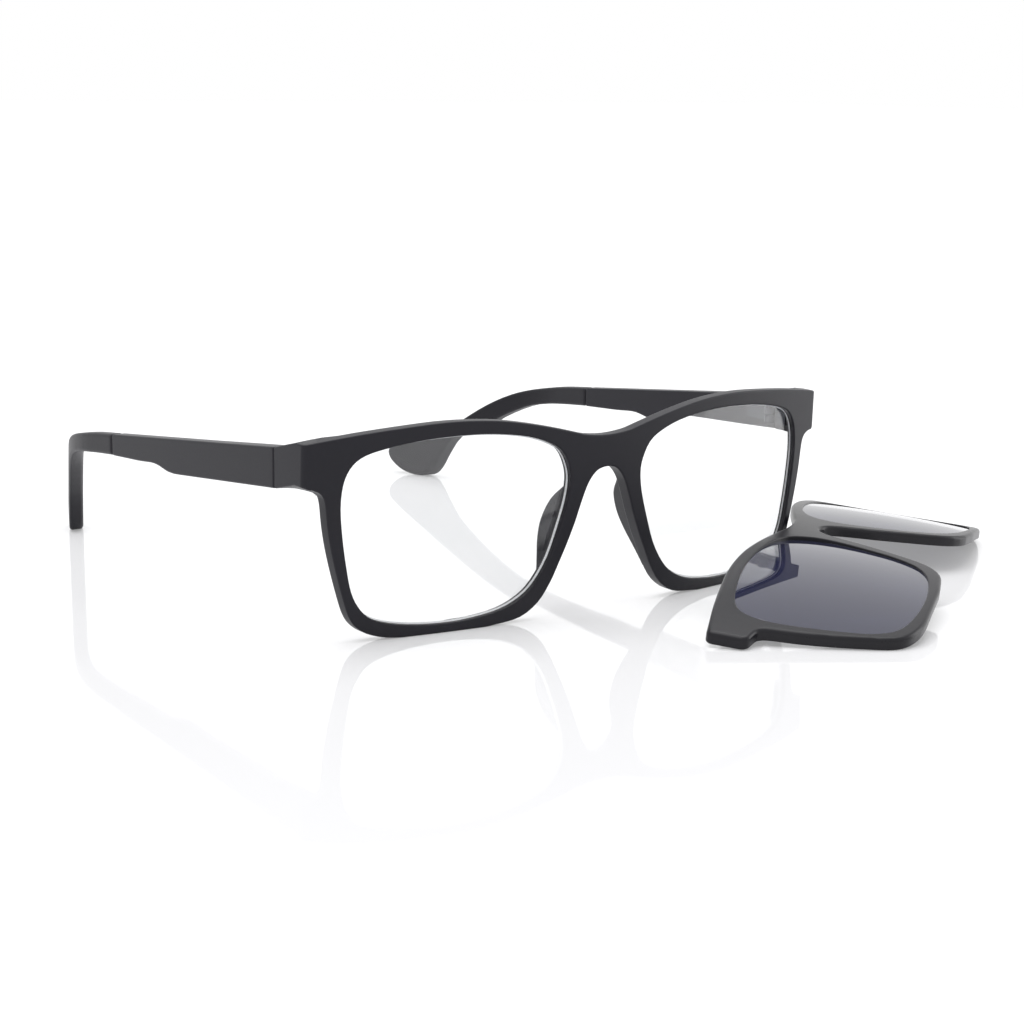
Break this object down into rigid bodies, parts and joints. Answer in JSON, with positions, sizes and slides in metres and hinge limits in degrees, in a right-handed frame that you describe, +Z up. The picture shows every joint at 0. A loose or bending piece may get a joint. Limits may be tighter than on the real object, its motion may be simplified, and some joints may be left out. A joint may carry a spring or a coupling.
{
  "type": "clip-on reading glasses",
  "caption": "Square black plastic glasses with clear lenses and folding temples, with a magnetic sun clip with dark lenses lying on the table beside them.",
  "frame": {"origin": "on the table, under the middle of the bridge's face, where the upright front would stand", "axes": "+Z up, +Y from the front back towards the temple tips, +X to the wearer's left, the side on which the sun clip lies"},
  "size_m": [0.1927, 0.2027, 0.0433],
  "materials": {
    "frame_plastic": "fine matte black",
    "tip_plastic": "fine matte black",
    "clear_lens": "polished, clear",
    "dark_lens": "polished, dark grey tint",
    "steel": "plain steel",
    "magnet": "nickel plated"
  },
  "bodies": {
    "front": {"front_frame": "frame_plastic", "lens_left": "clear_lens", "lens_right": "clear_lens", "front_magnet_left": "magnet", "front_magnet_right": "magnet", "front_hinge_left": "steel", "front_hinge_right": "steel", "hinge_screw_left": "steel", "hinge_screw_right": "steel"},
    "temple_left": {"temple_left": "frame_plastic", "temple_tip_left": "tip_plastic", "temple_hinge_left": "steel", "core_wire_left": "steel"},
    "temple_right": {"temple_right": "frame_plastic", "temple_tip_right": "tip_plastic", "temple_hinge_right": "steel", "core_wire_right": "steel"},
    "clip": {"clip_frame": "frame_plastic", "clip_lens_left": "dark_lens", "clip_lens_right": "dark_lens", "clip_magnet_left": "magnet", "clip_magnet_right": "magnet"}
  },
  "joints": [
    {"name": "temple_left_hinge", "type": "hinge", "parent": "front", "child": "temple_left", "pos_m": [0.0638, 0.01835, 0.0346], "axis": [0, 0, 1], "range_deg": [0, 86.5]},
    {"name": "temple_right_hinge", "type": "hinge", "parent": "front", "child": "temple_right", "pos_m": [-0.0638, 0.01835, 0.0346], "axis": [0, 0, -1], "range_deg": [0, 78]},
    {"name": "clip_lift", "type": "slide", "parent": "front", "child": "clip", "axis": [0.5, -0.5, 0.7071], "range_m": [0, 0.06]}
  ]
}
